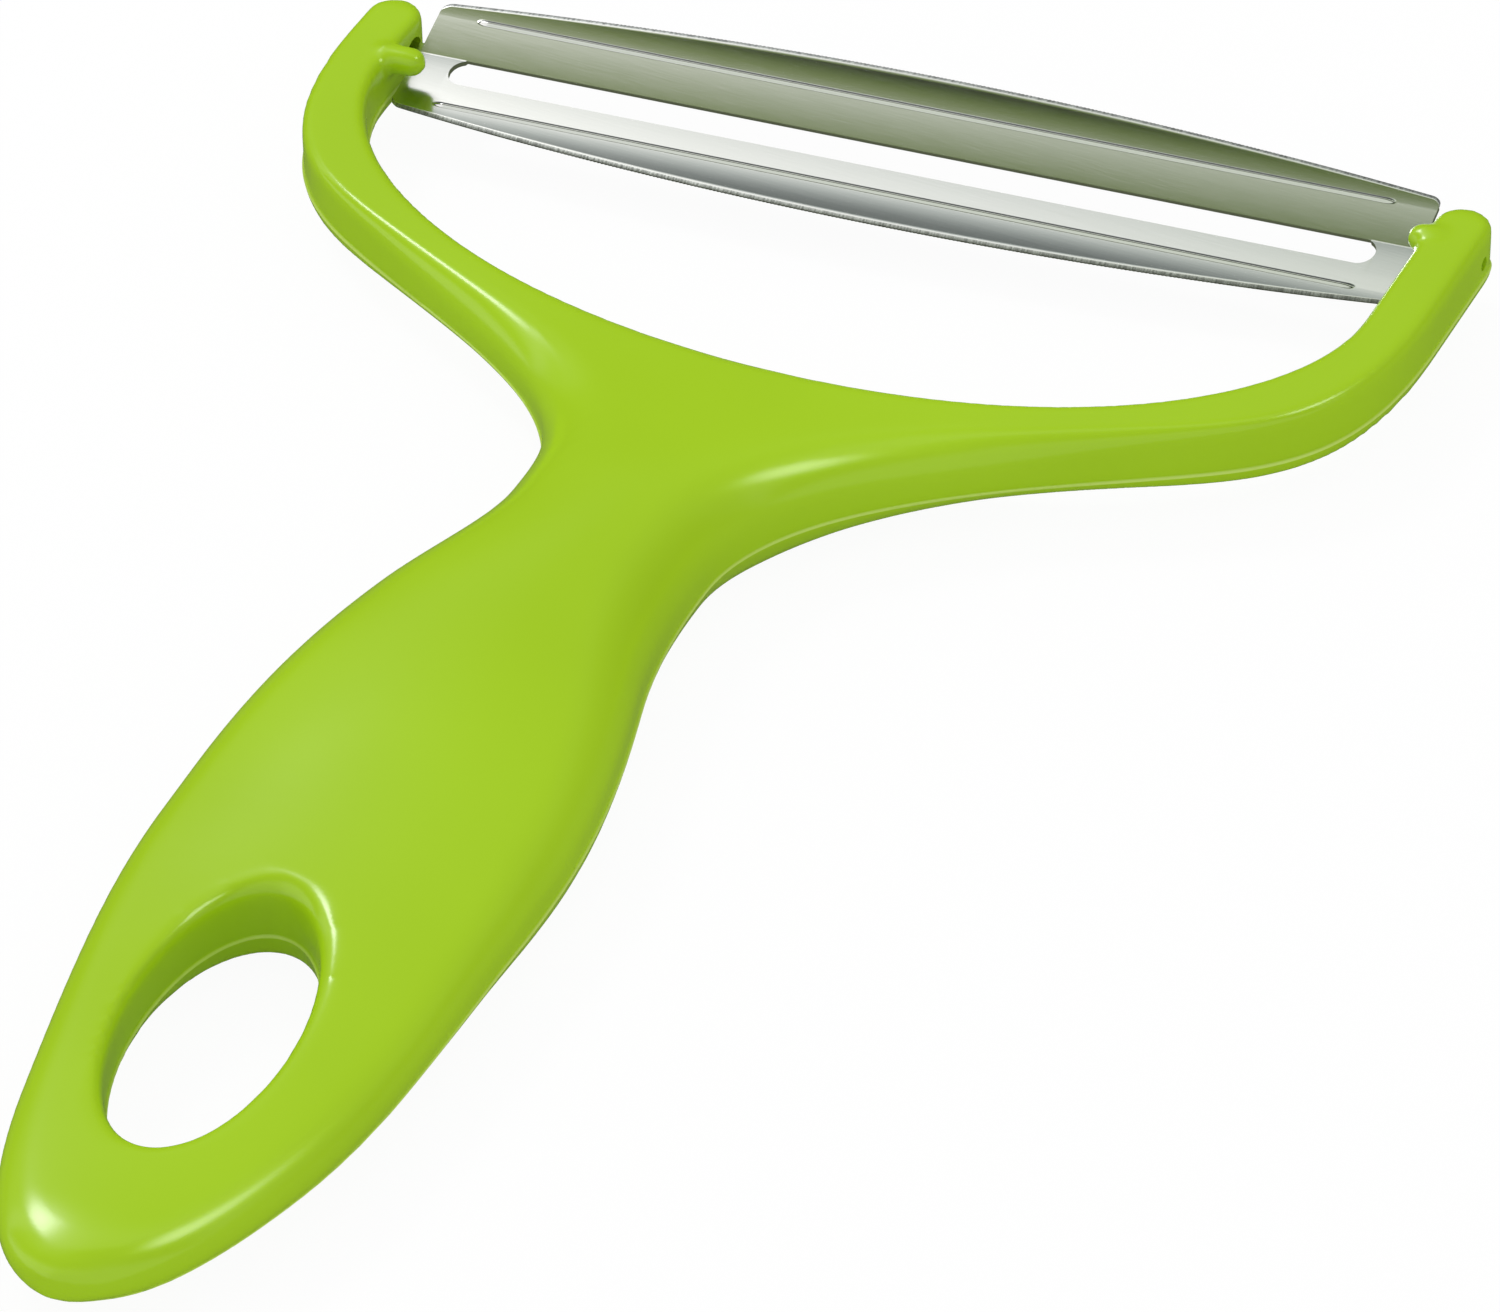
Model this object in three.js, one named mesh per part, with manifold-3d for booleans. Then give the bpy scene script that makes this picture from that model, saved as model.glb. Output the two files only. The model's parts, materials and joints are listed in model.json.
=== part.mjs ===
import * as THREE from 'three';
import { mergeVertices } from 'three/addons/utils/BufferGeometryUtils.js';
import Module from 'manifold-3d';

// Wide peeler: a one-piece moulded handle and yoke with a pressed swivel blade between its arms.
// Millimetres. X runs across the yoke, +Y points away from the handle, +Z is up.
// The shapes are drawn about the middle of the swivel axis and set on their bounding box at the end.

// Yoke
const YOKE_WIDTH = 115.4;
const ARM_WIDTH = 5.6;
const YOKE_THICKNESS = 7;
const GAP_CENTRE_Y = -8;
const GAP_DEPTH = 31;
const EDGE_ROUND = 1.8;
const ARM_BEYOND_AXIS = 4.3;

// Plan outline of one side, from the shoulder to the end of the handle
const SHOULDER_Y = -4;
const SHOULDER_REACH = 19;
const WING_X = 41;
const WING_Y = -33.6;
const WING_SLOPE = THREE.MathUtils.degToRad(30);
const WING_REACH_OUT = 12;
const WING_REACH_IN = 20;
const NECK_HALF_WIDTH = 10.3;
const NECK_Y = -66;
const NECK_REACH_UP = 16;
const NECK_REACH_DOWN = 12;
const BELLY_HALF_WIDTH = 17.9;
const BELLY_Y = -111;
const BELLY_REACH_UP = 23;
const BELLY_REACH_DOWN = 35;
const END_Y = -174;
const END_REACH = 11;
const FILLET_SHIFT = 2;
const NECK_SHIFT = 0.3;
const GRIP_SHIFT = -1.2;
const BELLY_SHIFT = -0.4;
const END_SHIFT = 1.9;

// Heights above and below the middle of the yoke
const NECK_EDGE = 5.4;
const TAIL_EDGE = 2.4;
const END_EDGE = 2.2;
const BELLY_CROWN = 3.2;
const TAIL_CROWN = 1;
const HANDLE_BOTTOM = 6.4;
const END_BOTTOM = 2.8;
const HANDLE_ROUND = 3;
const END_ROUND = 8;

// Hanging hole
const HOLE_WIDTH = 15.6;
const HOLE_LENGTH = 32.9;
const HOLE_Y = -141.2;
const HOLE_RIM = 1.5;
const HOLE_TILT = THREE.MathUtils.degToRad(8);

// Swivel
const SLANT = THREE.MathUtils.degToRad(5.56);
const AXIS_Y = 2.6;
const AXIS_Z = 0;
const PIVOT_DIAMETER = 3.2;
const PIVOT_DEPTH = 3.6;
const VENT_DIAMETER = 1.4;
const PEG_DIAMETER = 3;
const LEFT_PEG_LENGTH = 3.3;
const RIGHT_PEG_LENGTH = 1.8;
const PEG_RISE = 2.45;
const RIGHT_PEG_OFFSET = -1.1;
const LEFT_PEG_OFFSET = -4.9;

// Blade
const END_CLEARANCE = 0.7;
const SHEET = 0.6;
const EDGE_SHEET = 0.3;
const TONGUE_SHEET = 0.48;
const NEAR_SLOPE = THREE.MathUtils.degToRad(14);
const FAR_SLOPE = THREE.MathUtils.degToRad(24);
const LENS_CURVE = THREE.MathUtils.degToRad(2.2);
const NEAR_BEAD_OFFSET = 6.1;
const FAR_BEAD_OFFSET = 4.65;
const BEAD_HALF_WIDTH = 0.45;
const BEAD_HEIGHT = 0.35;
const BEAD_END_MARGIN = 4.15;
const FAR_REACH_MIDDLE = 8.5;
const FAR_REACH_END = 6.1;
const NEAR_REACH_MIDDLE = 10.3;
const NEAR_REACH_END = 7.2;
const SLOT_END_MARGIN = 3.9;
const SLOT_WIDTH = 3.2;
const TONGUE_HALF_WIDTH = 1.1;
const TONGUE_TIP_CLEARANCE = 0.4;

const HALF_YOKE = YOKE_WIDTH / 2;
const GAP_HALF_WIDTH = HALF_YOKE - ARM_WIDTH;
const HALF_THICKNESS = YOKE_THICKNESS / 2;

const wasm = await Module();
wasm.setup();

function solid(geometry) {
  const bare = geometry.index ? geometry.toNonIndexed() : geometry.clone();
  bare.deleteAttribute('normal');
  bare.deleteAttribute('uv');
  const merged = mergeVertices(bare, 1e-5);
  const mesh = new wasm.Mesh({
    numProp: 3,
    vertProperties: new Float32Array(merged.attributes.position.array),
    triVerts: new Uint32Array(merged.index.array),
  });
  return new wasm.Manifold(mesh);
}

function geometryOf(body) {
  const mesh = body.getMesh();
  const geometry = new THREE.BufferGeometry();
  geometry.setAttribute('position', new THREE.BufferAttribute(new Float32Array(mesh.vertProperties), 3));
  geometry.setIndex(new THREE.BufferAttribute(new Uint32Array(mesh.triVerts), 1));
  geometry.computeVertexNormals();
  return geometry;
}

// A closed skin through a row of rings with equal point counts, capped at both ends.
function loft(rings) {
  const count = rings[0].length;
  const points = [];
  const faces = [];
  for (const ring of rings) {
    for (const p of ring) {
      points.push(p.x, p.y, p.z);
    }
  }
  for (let r = 0; r + 1 < rings.length; r += 1) {
    for (let i = 0; i < count; i += 1) {
      const j = (i + 1) % count;
      const a = r * count;
      const b = a + count;
      faces.push(a + i, a + j, b + j, a + i, b + j, b + i);
    }
  }
  const last = (rings.length - 1) * count;
  const middle = (ring) => ring.reduce((sum, p) => sum.add(p), new THREE.Vector3()).divideScalar(count);
  const first = middle(rings[0]);
  const end = middle(rings[rings.length - 1]);
  points.push(first.x, first.y, first.z, end.x, end.y, end.z);
  const cap = rings.length * count;
  for (let i = 0; i < count; i += 1) {
    const j = (i + 1) % count;
    faces.push(cap, j, i);
    faces.push(cap + 1, last + i, last + j);
  }
  const geometry = new THREE.BufferGeometry();
  geometry.setAttribute('position', new THREE.Float32BufferAttribute(points, 3));
  geometry.setIndex(faces);
  const body = solid(geometry);
  if (body.volume() > 0) {
    return body;
  }
  for (let f = 0; f < faces.length; f += 3) {
    [faces[f + 1], faces[f + 2]] = [faces[f + 2], faces[f + 1]];
  }
  geometry.setIndex(faces);
  return solid(geometry);
}

const mix = (a, b, t) => a + (b - a) * t;
const ease = (t) => t * t * (3 - 2 * t);

// Value at y of a smooth curve through [y, value] stations that run towards the handle end.
function along(stations, y) {
  if (y >= stations[0][0]) {
    return stations[0][1];
  }
  for (let i = 0; i + 1 < stations.length; i += 1) {
    const [y0, v0] = stations[i];
    const [y1, v1] = stations[i + 1];
    if (y >= y1) {
      return mix(v0, v1, ease((y0 - y) / (y0 - y1)));
    }
  }
  return stations[stations.length - 1][1];
}

// Handle and yoke
const wingDirection = new THREE.Vector2(Math.cos(WING_SLOPE), Math.sin(WING_SLOPE));
const wing = new THREE.Vector2(WING_X, WING_Y);
const outline = [
  new THREE.CubicBezierCurve(
    new THREE.Vector2(HALF_YOKE, SHOULDER_Y),
    new THREE.Vector2(HALF_YOKE, SHOULDER_Y - SHOULDER_REACH),
    wing.clone().addScaledVector(wingDirection, WING_REACH_OUT),
    wing,
  ),
  new THREE.CubicBezierCurve(
    wing,
    wing.clone().addScaledVector(wingDirection, -WING_REACH_IN),
    new THREE.Vector2(NECK_HALF_WIDTH, NECK_Y + NECK_REACH_UP),
    new THREE.Vector2(NECK_HALF_WIDTH, NECK_Y),
  ),
  new THREE.CubicBezierCurve(
    new THREE.Vector2(NECK_HALF_WIDTH, NECK_Y),
    new THREE.Vector2(NECK_HALF_WIDTH, NECK_Y - NECK_REACH_DOWN),
    new THREE.Vector2(BELLY_HALF_WIDTH, BELLY_Y + BELLY_REACH_UP),
    new THREE.Vector2(BELLY_HALF_WIDTH, BELLY_Y),
  ),
  new THREE.CubicBezierCurve(
    new THREE.Vector2(BELLY_HALF_WIDTH, BELLY_Y),
    new THREE.Vector2(BELLY_HALF_WIDTH, BELLY_Y - BELLY_REACH_DOWN),
    new THREE.Vector2(END_REACH, END_Y),
    new THREE.Vector2(0, END_Y),
  ),
];
const OUTLINE_STEPS = [14, 16, 10, 20];

// How the section changes along the handle, as [y, value] stations
const edgeStations = [[WING_Y, HALF_THICKNESS], [NECK_Y + 2, NECK_EDGE], [HOLE_Y, TAIL_EDGE], [END_Y, END_EDGE]];
const crownStations = [[WING_Y, 0], [BELLY_Y + 21, BELLY_CROWN], [HOLE_Y, TAIL_CROWN], [END_Y, TAIL_CROWN]];
const bottomStations = [
  [WING_Y, HALF_THICKNESS], [NECK_Y + 8, HANDLE_BOTTOM], [BELLY_Y + 26, HANDLE_BOTTOM], [END_Y + 14, END_BOTTOM],
];
const roundStations = [[WING_Y, EDGE_ROUND], [NECK_Y, HANDLE_ROUND]];
const shiftStations = [
  [WING_Y + 4, 0], [NECK_Y + 19, FILLET_SHIFT], [NECK_Y, NECK_SHIFT], [NECK_Y - 18, GRIP_SHIFT],
  [BELLY_Y - 7, BELLY_SHIFT], [END_Y + 20, END_SHIFT],
];

// Closed section across the body: upright sides, rounded edges, a crowned top and a flat underside.
// The lean widens the rounding where the outline runs slantwise through the section.
function section(halfWidth, y, lean, edge, crown, bottom, radius) {
  const across = Math.min(radius * lean, halfWidth * 0.85);
  const upper = Math.min(radius, edge * 0.9);
  const lower = Math.min(radius, bottom * 0.8);
  const flat = halfWidth - across;
  const corner = 5;
  const top = [];
  const under = [];
  for (let i = 0; i <= corner; i += 1) {
    const angle = ((i / corner) * Math.PI) / 2;
    const x = flat + across * Math.cos(angle);
    top.push([x, edge - upper + upper * Math.sin(angle)]);
    under.push([x, -bottom + lower - lower * Math.sin(angle)]);
  }
  for (const k of [0.8, 0.55, 0.28]) {
    top.push([flat * k, edge]);
  }
  under.push([flat * 0.5, -bottom]);
  const mirrored = (half) => half.map(([x, z]) => [-x, z]).reverse();
  top.push([0, edge]);
  const crowned = top.map(([x, z]) => [x, z + crown * (1 - (x / halfWidth) ** 2)]);
  const ring = [...crowned, ...mirrored(crowned).slice(1), ...under.map(([x, z]) => [-x, z])];
  ring.push([0, -bottom], ...under.slice().reverse());
  return ring.map(([x, z]) => new THREE.Vector3(x, y, z));
}

function bodyRings() {
  const rings = [];
  outline.forEach((curve, part) => {
    const steps = OUTLINE_STEPS[part];
    for (let i = part === 0 ? 0 : 1; i <= steps; i += 1) {
      const share = part === 3 ? Math.sin(((i / steps) * Math.PI) / 2) : i / steps;
      const p = curve.getPoint(share);
      const tangent = curve.getTangent(share);
      const lean = 1 / Math.max(Math.abs(tangent.y), 0.3);
      const halfWidth = Math.max(p.x, 0.5);
      const inset = 1 - Math.min((p.y - END_Y) / END_ROUND, 1);
      const end = Math.sqrt(1 - inset * inset);
      const ring = section(
        halfWidth,
        p.y,
        lean,
        along(edgeStations, p.y) * mix(0.35, 1, end),
        along(crownStations, p.y) * end,
        along(bottomStations, p.y) * mix(0.35, 1, end),
        along(roundStations, p.y),
      );
      rings.push(ring.map((point) => point.setX(point.x + along(shiftStations, p.y))));
    }
  });
  return rings;
}

// A cutter whose wall flares out at the top and bottom, so the rim it leaves is rounded.
// The top and bottom are heights at a given y, so the rim follows the surface it is cut in.
function flaredCutter(loop, top, bottom, radius) {
  const steps = 4;
  const sweep = THREE.MathUtils.degToRad(80);
  const flare = [];
  for (let i = 0; i <= steps; i += 1) {
    const angle = (sweep * i) / steps;
    flare.push([radius * (Math.sin(angle) - 1), radius * (1 - Math.cos(angle))]);
  }
  const [rise, out] = flare[steps];
  flare.push([rise + 2.5, out + 1.2], [rise + 9, out + 1.2]);
  const ring = (offset, height) => loop(offset).map((p) => new THREE.Vector3(p.x, p.y, height(p.y)));
  const upper = flare.map(([lift, offset]) => ring(offset, (y) => top(y) + lift));
  const lower = flare.map(([lift, offset]) => ring(offset, (y) => bottom(y) - lift));
  return loft([...lower.reverse(), ...upper]);
}

function gapLoop(offset) {
  const points = [];
  const steps = 40;
  const far = 30;
  points.push(new THREE.Vector2(GAP_HALF_WIDTH + offset, far));
  for (let i = 0; i <= steps; i += 1) {
    const angle = (i / steps) * Math.PI;
    const rim = new THREE.Vector2(GAP_HALF_WIDTH * Math.cos(angle), GAP_CENTRE_Y - GAP_DEPTH * Math.sin(angle));
    const normal = new THREE.Vector2(Math.cos(angle) / GAP_HALF_WIDTH, -Math.sin(angle) / GAP_DEPTH).normalize();
    points.push(rim.addScaledVector(normal, offset));
  }
  points.push(new THREE.Vector2(-GAP_HALF_WIDTH - offset, far));
  return points;
}

function holeLoop(offset) {
  const points = [];
  const steps = 36;
  const centre = new THREE.Vector2(0, 0);
  for (let i = 0; i < steps; i += 1) {
    const angle = (i / steps) * Math.PI * 2;
    const a = HOLE_WIDTH / 2 + offset;
    const b = HOLE_LENGTH / 2 + offset;
    const rim = new THREE.Vector2(a * Math.cos(angle), b * Math.sin(angle)).rotateAround(centre, HOLE_TILT);
    points.push(rim.setY(rim.y + HOLE_Y));
  }
  return points;
}

// An arm: a rounded bar from inside the shoulder to a tip that is round in plan.
function arm(side) {
  const half = ARM_WIDTH / 2;
  const middle = side * (HALF_YOKE - half);
  const tipY = middle * Math.tan(SLANT) + AXIS_Y + ARM_BEYOND_AXIS;
  const ring = (y, width, height) => section(width, y, 1, height, 0, height, EDGE_ROUND)
    .map((p) => p.setX(p.x + middle));
  const rings = [ring(SHOULDER_Y - 2, half, HALF_THICKNESS)];
  const steps = 8;
  for (let i = 0; i <= steps; i += 1) {
    const angle = (i / steps) * THREE.MathUtils.degToRad(84);
    const drop = EDGE_ROUND * (1 - Math.cos(angle)) * 0.6;
    rings.push(ring(tipY - half * (1 - Math.sin(angle)), half * Math.cos(angle), HALF_THICKNESS - drop));
  }
  return loft(rings);
}

// Turns a shape drawn along +X onto the swivel axis.
function onAxis(geometry, x, y, z) {
  geometry.translate(x, y, z);
  geometry.rotateZ(SLANT);
  geometry.translate(0, AXIS_Y, AXIS_Z);
  return solid(geometry);
}

function rod(diameter, length) {
  return new THREE.CylinderGeometry(diameter / 2, diameter / 2, length, 24).rotateZ(Math.PI / 2);
}

function pivotHole(side) {
  const wall = GAP_HALF_WIDTH / Math.cos(SLANT);
  const pocket = onAxis(rod(PIVOT_DIAMETER, PIVOT_DEPTH * 2), side * wall, 0, 0);
  const vent = onAxis(rod(VENT_DIAMETER, ARM_WIDTH * 4), side * (wall + ARM_WIDTH * 2), 0, 0);
  return pocket.add(vent);
}

function peg(side, offset, length) {
  const wall = GAP_HALF_WIDTH / Math.cos(SLANT);
  const radius = PEG_DIAMETER / 2;
  const root = 1.5;
  const shape = new THREE.CapsuleGeometry(radius, length + root - radius, 6, 20).rotateZ(Math.PI / 2);
  const centre = wall + root / 2 - length / 2;
  return onAxis(shape, side * centre, offset, PEG_RISE);
}

function handleFrame() {
  let body = loft(bodyRings());
  body = body.subtract(flaredCutter(gapLoop, () => HALF_THICKNESS, () => -HALF_THICKNESS, EDGE_ROUND));
  const holeTop = (y) => along(edgeStations, y) + along(crownStations, y) * 0.75;
  const holeBottom = (y) => -along(bottomStations, y);
  body = body.subtract(flaredCutter(holeLoop, holeTop, holeBottom, HOLE_RIM));
  body = body.add(arm(-1)).add(arm(1));
  body = body.subtract(pivotHole(-1)).subtract(pivotHole(1));
  body = body.add(peg(-1, LEFT_PEG_OFFSET, LEFT_PEG_LENGTH));
  body = body.add(peg(1, RIGHT_PEG_OFFSET, RIGHT_PEG_LENGTH));
  return body;
}

// Blade
const BLADE_HALF_LENGTH = (GAP_HALF_WIDTH - END_CLEARANCE) / Math.cos(SLANT);
const BEAD_HALF_LENGTH = BLADE_HALF_LENGTH - BEAD_END_MARGIN;
const SLOT_HALF_LENGTH = BLADE_HALF_LENGTH - SLOT_END_MARGIN;

// Point of the folded sheet at a distance from the crease, positive on the far half.
// Beyond its bead each half curves by LENS_CURVE for every millimetre.
function fold(distance) {
  const slope = distance >= 0 ? FAR_SLOPE : NEAR_SLOPE;
  const inner = Math.min(Math.max(distance, -NEAR_BEAD_OFFSET), FAR_BEAD_OFFSET);
  const outer = distance - inner;
  const lens = slope + (outer * LENS_CURVE) / 2;
  return new THREE.Vector2(
    inner * Math.cos(slope) + outer * Math.cos(lens),
    inner * Math.sin(slope) + outer * Math.sin(lens),
  );
}

// Distances across one half of the blade, from the crease over the bead to an edge at the given reach.
function stepsAcross(offset, reach) {
  const bead = [-1, -0.5, 0, 0.5, 1].map((k) => offset + k * BEAD_HALF_WIDTH);
  const lens = [0.5, 1].map((k) => mix(offset + BEAD_HALF_WIDTH, reach, k));
  return [offset * 0.45, ...bead, ...lens];
}

function sheetRing(s, distances, bead, sheet, edgeSheet) {
  const upper = [];
  const lower = [];
  const step = 0.05;
  const first = distances[0];
  const last = distances[distances.length - 1];
  for (const d of distances) {
    const point = fold(d);
    const tangent = fold(d + step).sub(fold(d - step)).normalize();
    const normal = new THREE.Vector2(-tangent.y, tangent.x);
    const mitre = d === 0 ? 1 / Math.cos((FAR_SLOPE - NEAR_SLOPE) / 2) : 1;
    const half = (d === first || d === last ? edgeSheet : sheet * mitre) / 2;
    const near = Math.abs(d < 0 ? d + NEAR_BEAD_OFFSET : d - FAR_BEAD_OFFSET) / BEAD_HALF_WIDTH;
    const bump = near < 1 ? BEAD_HEIGHT * bead * Math.cos((near * Math.PI) / 2) : 0;
    const at = (offset) => {
      const v = point.x + normal.x * offset;
      const z = point.y + normal.y * offset;
      return new THREE.Vector3(s + v * Math.tan(SLANT), v, z);
    };
    upper.push(at(bump + half));
    lower.push(at(bump - half));
  }
  return [...upper, ...lower.reverse()];
}

function blade() {
  const rings = [];
  const steps = 40;
  for (let i = 0; i <= steps; i += 1) {
    const u = mix(-1, 1, i / steps);
    const s = BLADE_HALF_LENGTH * Math.sin((u * Math.PI) / 2 * 0.98) / Math.sin((Math.PI / 2) * 0.98);
    const bow = Math.pow(s / BLADE_HALF_LENGTH, 2);
    const far = stepsAcross(FAR_BEAD_OFFSET, mix(FAR_REACH_MIDDLE, FAR_REACH_END, bow));
    const nearReach = mix(NEAR_REACH_MIDDLE, NEAR_REACH_END, bow);
    const near = stepsAcross(NEAR_BEAD_OFFSET, nearReach).map((d) => -d).reverse();
    const bead = Math.min(Math.max((BEAD_HALF_LENGTH - Math.abs(s)) / 1.2, 0), 1);
    rings.push(sheetRing(s, [...near, 0, ...far], bead, SHEET, EDGE_SHEET));
  }
  let body = loft(rings);
  const slot = new THREE.Shape();
  const run = SLOT_HALF_LENGTH - SLOT_WIDTH / 2;
  slot.absarc(run, 0, SLOT_WIDTH / 2, -Math.PI / 2, Math.PI / 2);
  slot.absarc(-run, 0, SLOT_WIDTH / 2, Math.PI / 2, Math.PI * 1.5);
  const cutter = new THREE.ExtrudeGeometry(slot, { depth: 4, bevelEnabled: false, curveSegments: 10 });
  cutter.translate(0, -SLOT_WIDTH / 2, -2);
  cutter.rotateX(NEAR_SLOPE);
  body = body.subtract(solid(cutter));
  const tongue = [-TONGUE_HALF_WIDTH, -TONGUE_HALF_WIDTH / 2, 0, TONGUE_HALF_WIDTH / 2, TONGUE_HALF_WIDTH];
  const tip = GAP_HALF_WIDTH / Math.cos(SLANT) + PIVOT_DEPTH - TONGUE_TIP_CLEARANCE;
  for (const side of [-1, 1]) {
    const inner = side * (BLADE_HALF_LENGTH - 1);
    const rows = [inner, side * tip].sort((a, b) => a - b);
    body = body.add(loft(rows.map((s) => sheetRing(s, tongue, 0, TONGUE_SHEET, TONGUE_SHEET))));
  }
  const geometry = geometryOf(body);
  geometry.rotateZ(SLANT);
  geometry.translate(0, AXIS_Y, AXIS_Z);
  return geometry;
}

const plastic = new THREE.MeshStandardMaterial({ color: 0x9bc92b, roughness: 0.35, metalness: 0 });
const steel = new THREE.MeshStandardMaterial({ color: 0xc9ccce, roughness: 0.28, metalness: 1 });

const peeler = new THREE.Group();
peeler.name = 'peeler';
const pieces = [
  ['handle_frame', geometryOf(handleFrame()), plastic],
  ['blade', blade(), steel],
];
const bounds = new THREE.Box3();
for (const [, geometry] of pieces) {
  geometry.computeBoundingBox();
  bounds.union(geometry.boundingBox);
}
const centre = bounds.getCenter(new THREE.Vector3());
for (const [name, geometry, material] of pieces) {
  geometry.translate(-centre.x, -centre.y, -bounds.min.z);
  geometry.computeVertexNormals();
  const mesh = new THREE.Mesh(geometry, material);
  mesh.name = name;
  peeler.add(mesh);
}

export default peeler;
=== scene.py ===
import json
import math

import bmesh
import bpy
from bpy.props import FloatProperty, FloatVectorProperty, IntProperty, PointerProperty
from mathutils import Matrix, Vector


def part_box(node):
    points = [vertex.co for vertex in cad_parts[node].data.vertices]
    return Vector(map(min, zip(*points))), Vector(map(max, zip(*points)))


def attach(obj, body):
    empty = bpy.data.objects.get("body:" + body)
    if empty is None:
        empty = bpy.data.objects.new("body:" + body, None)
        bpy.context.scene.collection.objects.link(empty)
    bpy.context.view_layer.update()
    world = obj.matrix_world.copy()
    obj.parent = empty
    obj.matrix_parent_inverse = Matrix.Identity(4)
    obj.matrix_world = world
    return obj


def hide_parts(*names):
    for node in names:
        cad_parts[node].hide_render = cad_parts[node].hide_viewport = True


bl_info = {
    "name": "Wide swivel peeler",
    "version": (1, 0, 0),
    "blender": (4, 5, 0),
    "location": "View3D > Sidebar > Peeler",
    "description": "Builds the moulded handle, the pressed blade and the studio of a wide swivel peeler",
    "category": "Object",
}

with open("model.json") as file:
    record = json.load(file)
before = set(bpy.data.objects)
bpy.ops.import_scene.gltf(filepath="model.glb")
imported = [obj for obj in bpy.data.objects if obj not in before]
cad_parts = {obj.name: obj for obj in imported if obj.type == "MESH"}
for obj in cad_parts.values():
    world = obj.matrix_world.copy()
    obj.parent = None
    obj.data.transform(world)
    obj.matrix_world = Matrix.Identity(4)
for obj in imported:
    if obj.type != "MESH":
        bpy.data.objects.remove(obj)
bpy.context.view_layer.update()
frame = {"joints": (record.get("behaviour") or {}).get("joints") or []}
FRAME_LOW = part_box("handle_frame")[0]
HINGE = frame["joints"][0]

# Lengths below are millimetres in the frame that the solids are drawn in: x is 0 in the middle of the yoke, y is 0
# between the arms and z is 0 halfway through the yoke's thickness.
MM = 0.001
END_Y = -174.0
HANDLE_BOTTOM = 6.4
DRAWN_ORIGIN = Vector((0.0, FRAME_LOW.y / MM - END_Y, HANDLE_BOTTOM))
SLANT = math.atan2(HINGE["axis"][1], HINGE["axis"][0])

# In metres: points nearer than WELD are one point, and SLACK is room for rounding errors
WELD = 1e-7
SLACK = 1e-6

# Yoke. Its edges start crisper than those of the solids, because smoothing the skin rounds them further.
HALF_YOKE = 57.7
ARM_WIDTH = 5.6
GAP_HALF_WIDTH = HALF_YOKE - ARM_WIDTH
HALF_THICKNESS = 3.5
GAP_CENTRE_Y = -8.0
GAP_DEPTH = 31.0
GAP_REACH = 30.0
GAP_STEPS = 120
EDGE_ROUND = 0.8

# Arms, which start inside the shoulders and end in rounded tips beyond the swivel axis
ARM_BEYOND_AXIS = 4.3
ARM_ROOT = 2.0
TIP_STEPS = 18
TIP_TURN = math.radians(84)
TIP_DROP = 0.6

# Plan outline of one side from the shoulder to the end of the handle: cubic curves, each with its two ends and the two
# points between that shape it
SHOULDER_Y = -4.0
WING_Y = -33.6
NECK_Y = -66.0
BELLY_Y = -111.0
SHOULDER = Vector((HALF_YOKE, SHOULDER_Y))
WING = Vector((41.0, WING_Y))
NECK = Vector((10.3, NECK_Y))
BELLY = Vector((17.9, BELLY_Y))
END = Vector((0.0, END_Y))
ACROSS = Vector((1.0, 0.0))
FORWARD = Vector((0.0, 1.0))
WING_DIRECTION = Vector((math.cos(math.radians(30)), math.sin(math.radians(30))))
OUTLINE = (
    (SHOULDER, SHOULDER - FORWARD * 19.0, WING + WING_DIRECTION * 12.0, WING),
    (WING, WING - WING_DIRECTION * 20.0, NECK + FORWARD * 16.0, NECK),
    (NECK, NECK - FORWARD * 12.0, BELLY + FORWARD * 23.0, BELLY),
    (BELLY, BELLY - FORWARD * 35.0, END + ACROSS * 11.0, END),
)
OUTLINE_STEPS = (44, 52, 40, 64)
LEAST_LEAN = 0.3

# End of the handle: how far its rounding reaches, the share of the thickness left at its tip and its last half width
END_ROUND = 8.0
END_SHARE = 0.35
END_HALF_WIDTH = 0.5

# Section: points on a rounded edge and on half a face, and the most of each measure that a rounding may take
CORNER_STEPS = 12
FACE_STEPS = 10
WIDTH_SHARE = 0.85
EDGE_SHARE = 0.9
BOTTOM_SHARE = 0.8

# Hanging hole
HOLE_WIDTH = 15.6
HOLE_LENGTH = 32.9
HOLE_Y = -141.2
HOLE_RIM = 1.2
HOLE_TILT = math.radians(8)
HOLE_STEPS = 96
HOLE_CROWN = 0.75

# Flare of a cutter: steps and turn of its rounding, then (rise, widening) of the straight part above it
FLARE_STEPS = 10
FLARE_TURN = math.radians(80)
FLARE_RUNOUT = ((2.5, 1.2), (9.0, 1.2))

# How the section changes along the handle, as (y, value) stations. The neck is softer than that of the solids.
EDGE_STATIONS = ((WING_Y, HALF_THICKNESS), (NECK_Y + 2, 5.4), (HOLE_Y, 2.4), (END_Y, 2.2))
CROWN_STATIONS = ((WING_Y, 0.0), (BELLY_Y + 21, 3.2), (HOLE_Y, 1.0), (END_Y, 1.0))
BOTTOM_STATIONS = (
    (WING_Y, HALF_THICKNESS), (NECK_Y + 8, HANDLE_BOTTOM), (BELLY_Y + 26, HANDLE_BOTTOM), (END_Y + 14, 2.8),
)
ROUND_STATIONS = ((WING_Y + 6, EDGE_ROUND), (NECK_Y + 14, 5.2), (NECK_Y - 4, 5.2), (HOLE_Y + 10, 3.0))
SHIFT_STATIONS = (
    (WING_Y + 4, 0.0), (NECK_Y + 19, 2.0), (NECK_Y, 0.3), (NECK_Y - 18, -1.2), (BELLY_Y - 7, -0.4), (END_Y + 20, 1.9),
)

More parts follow.
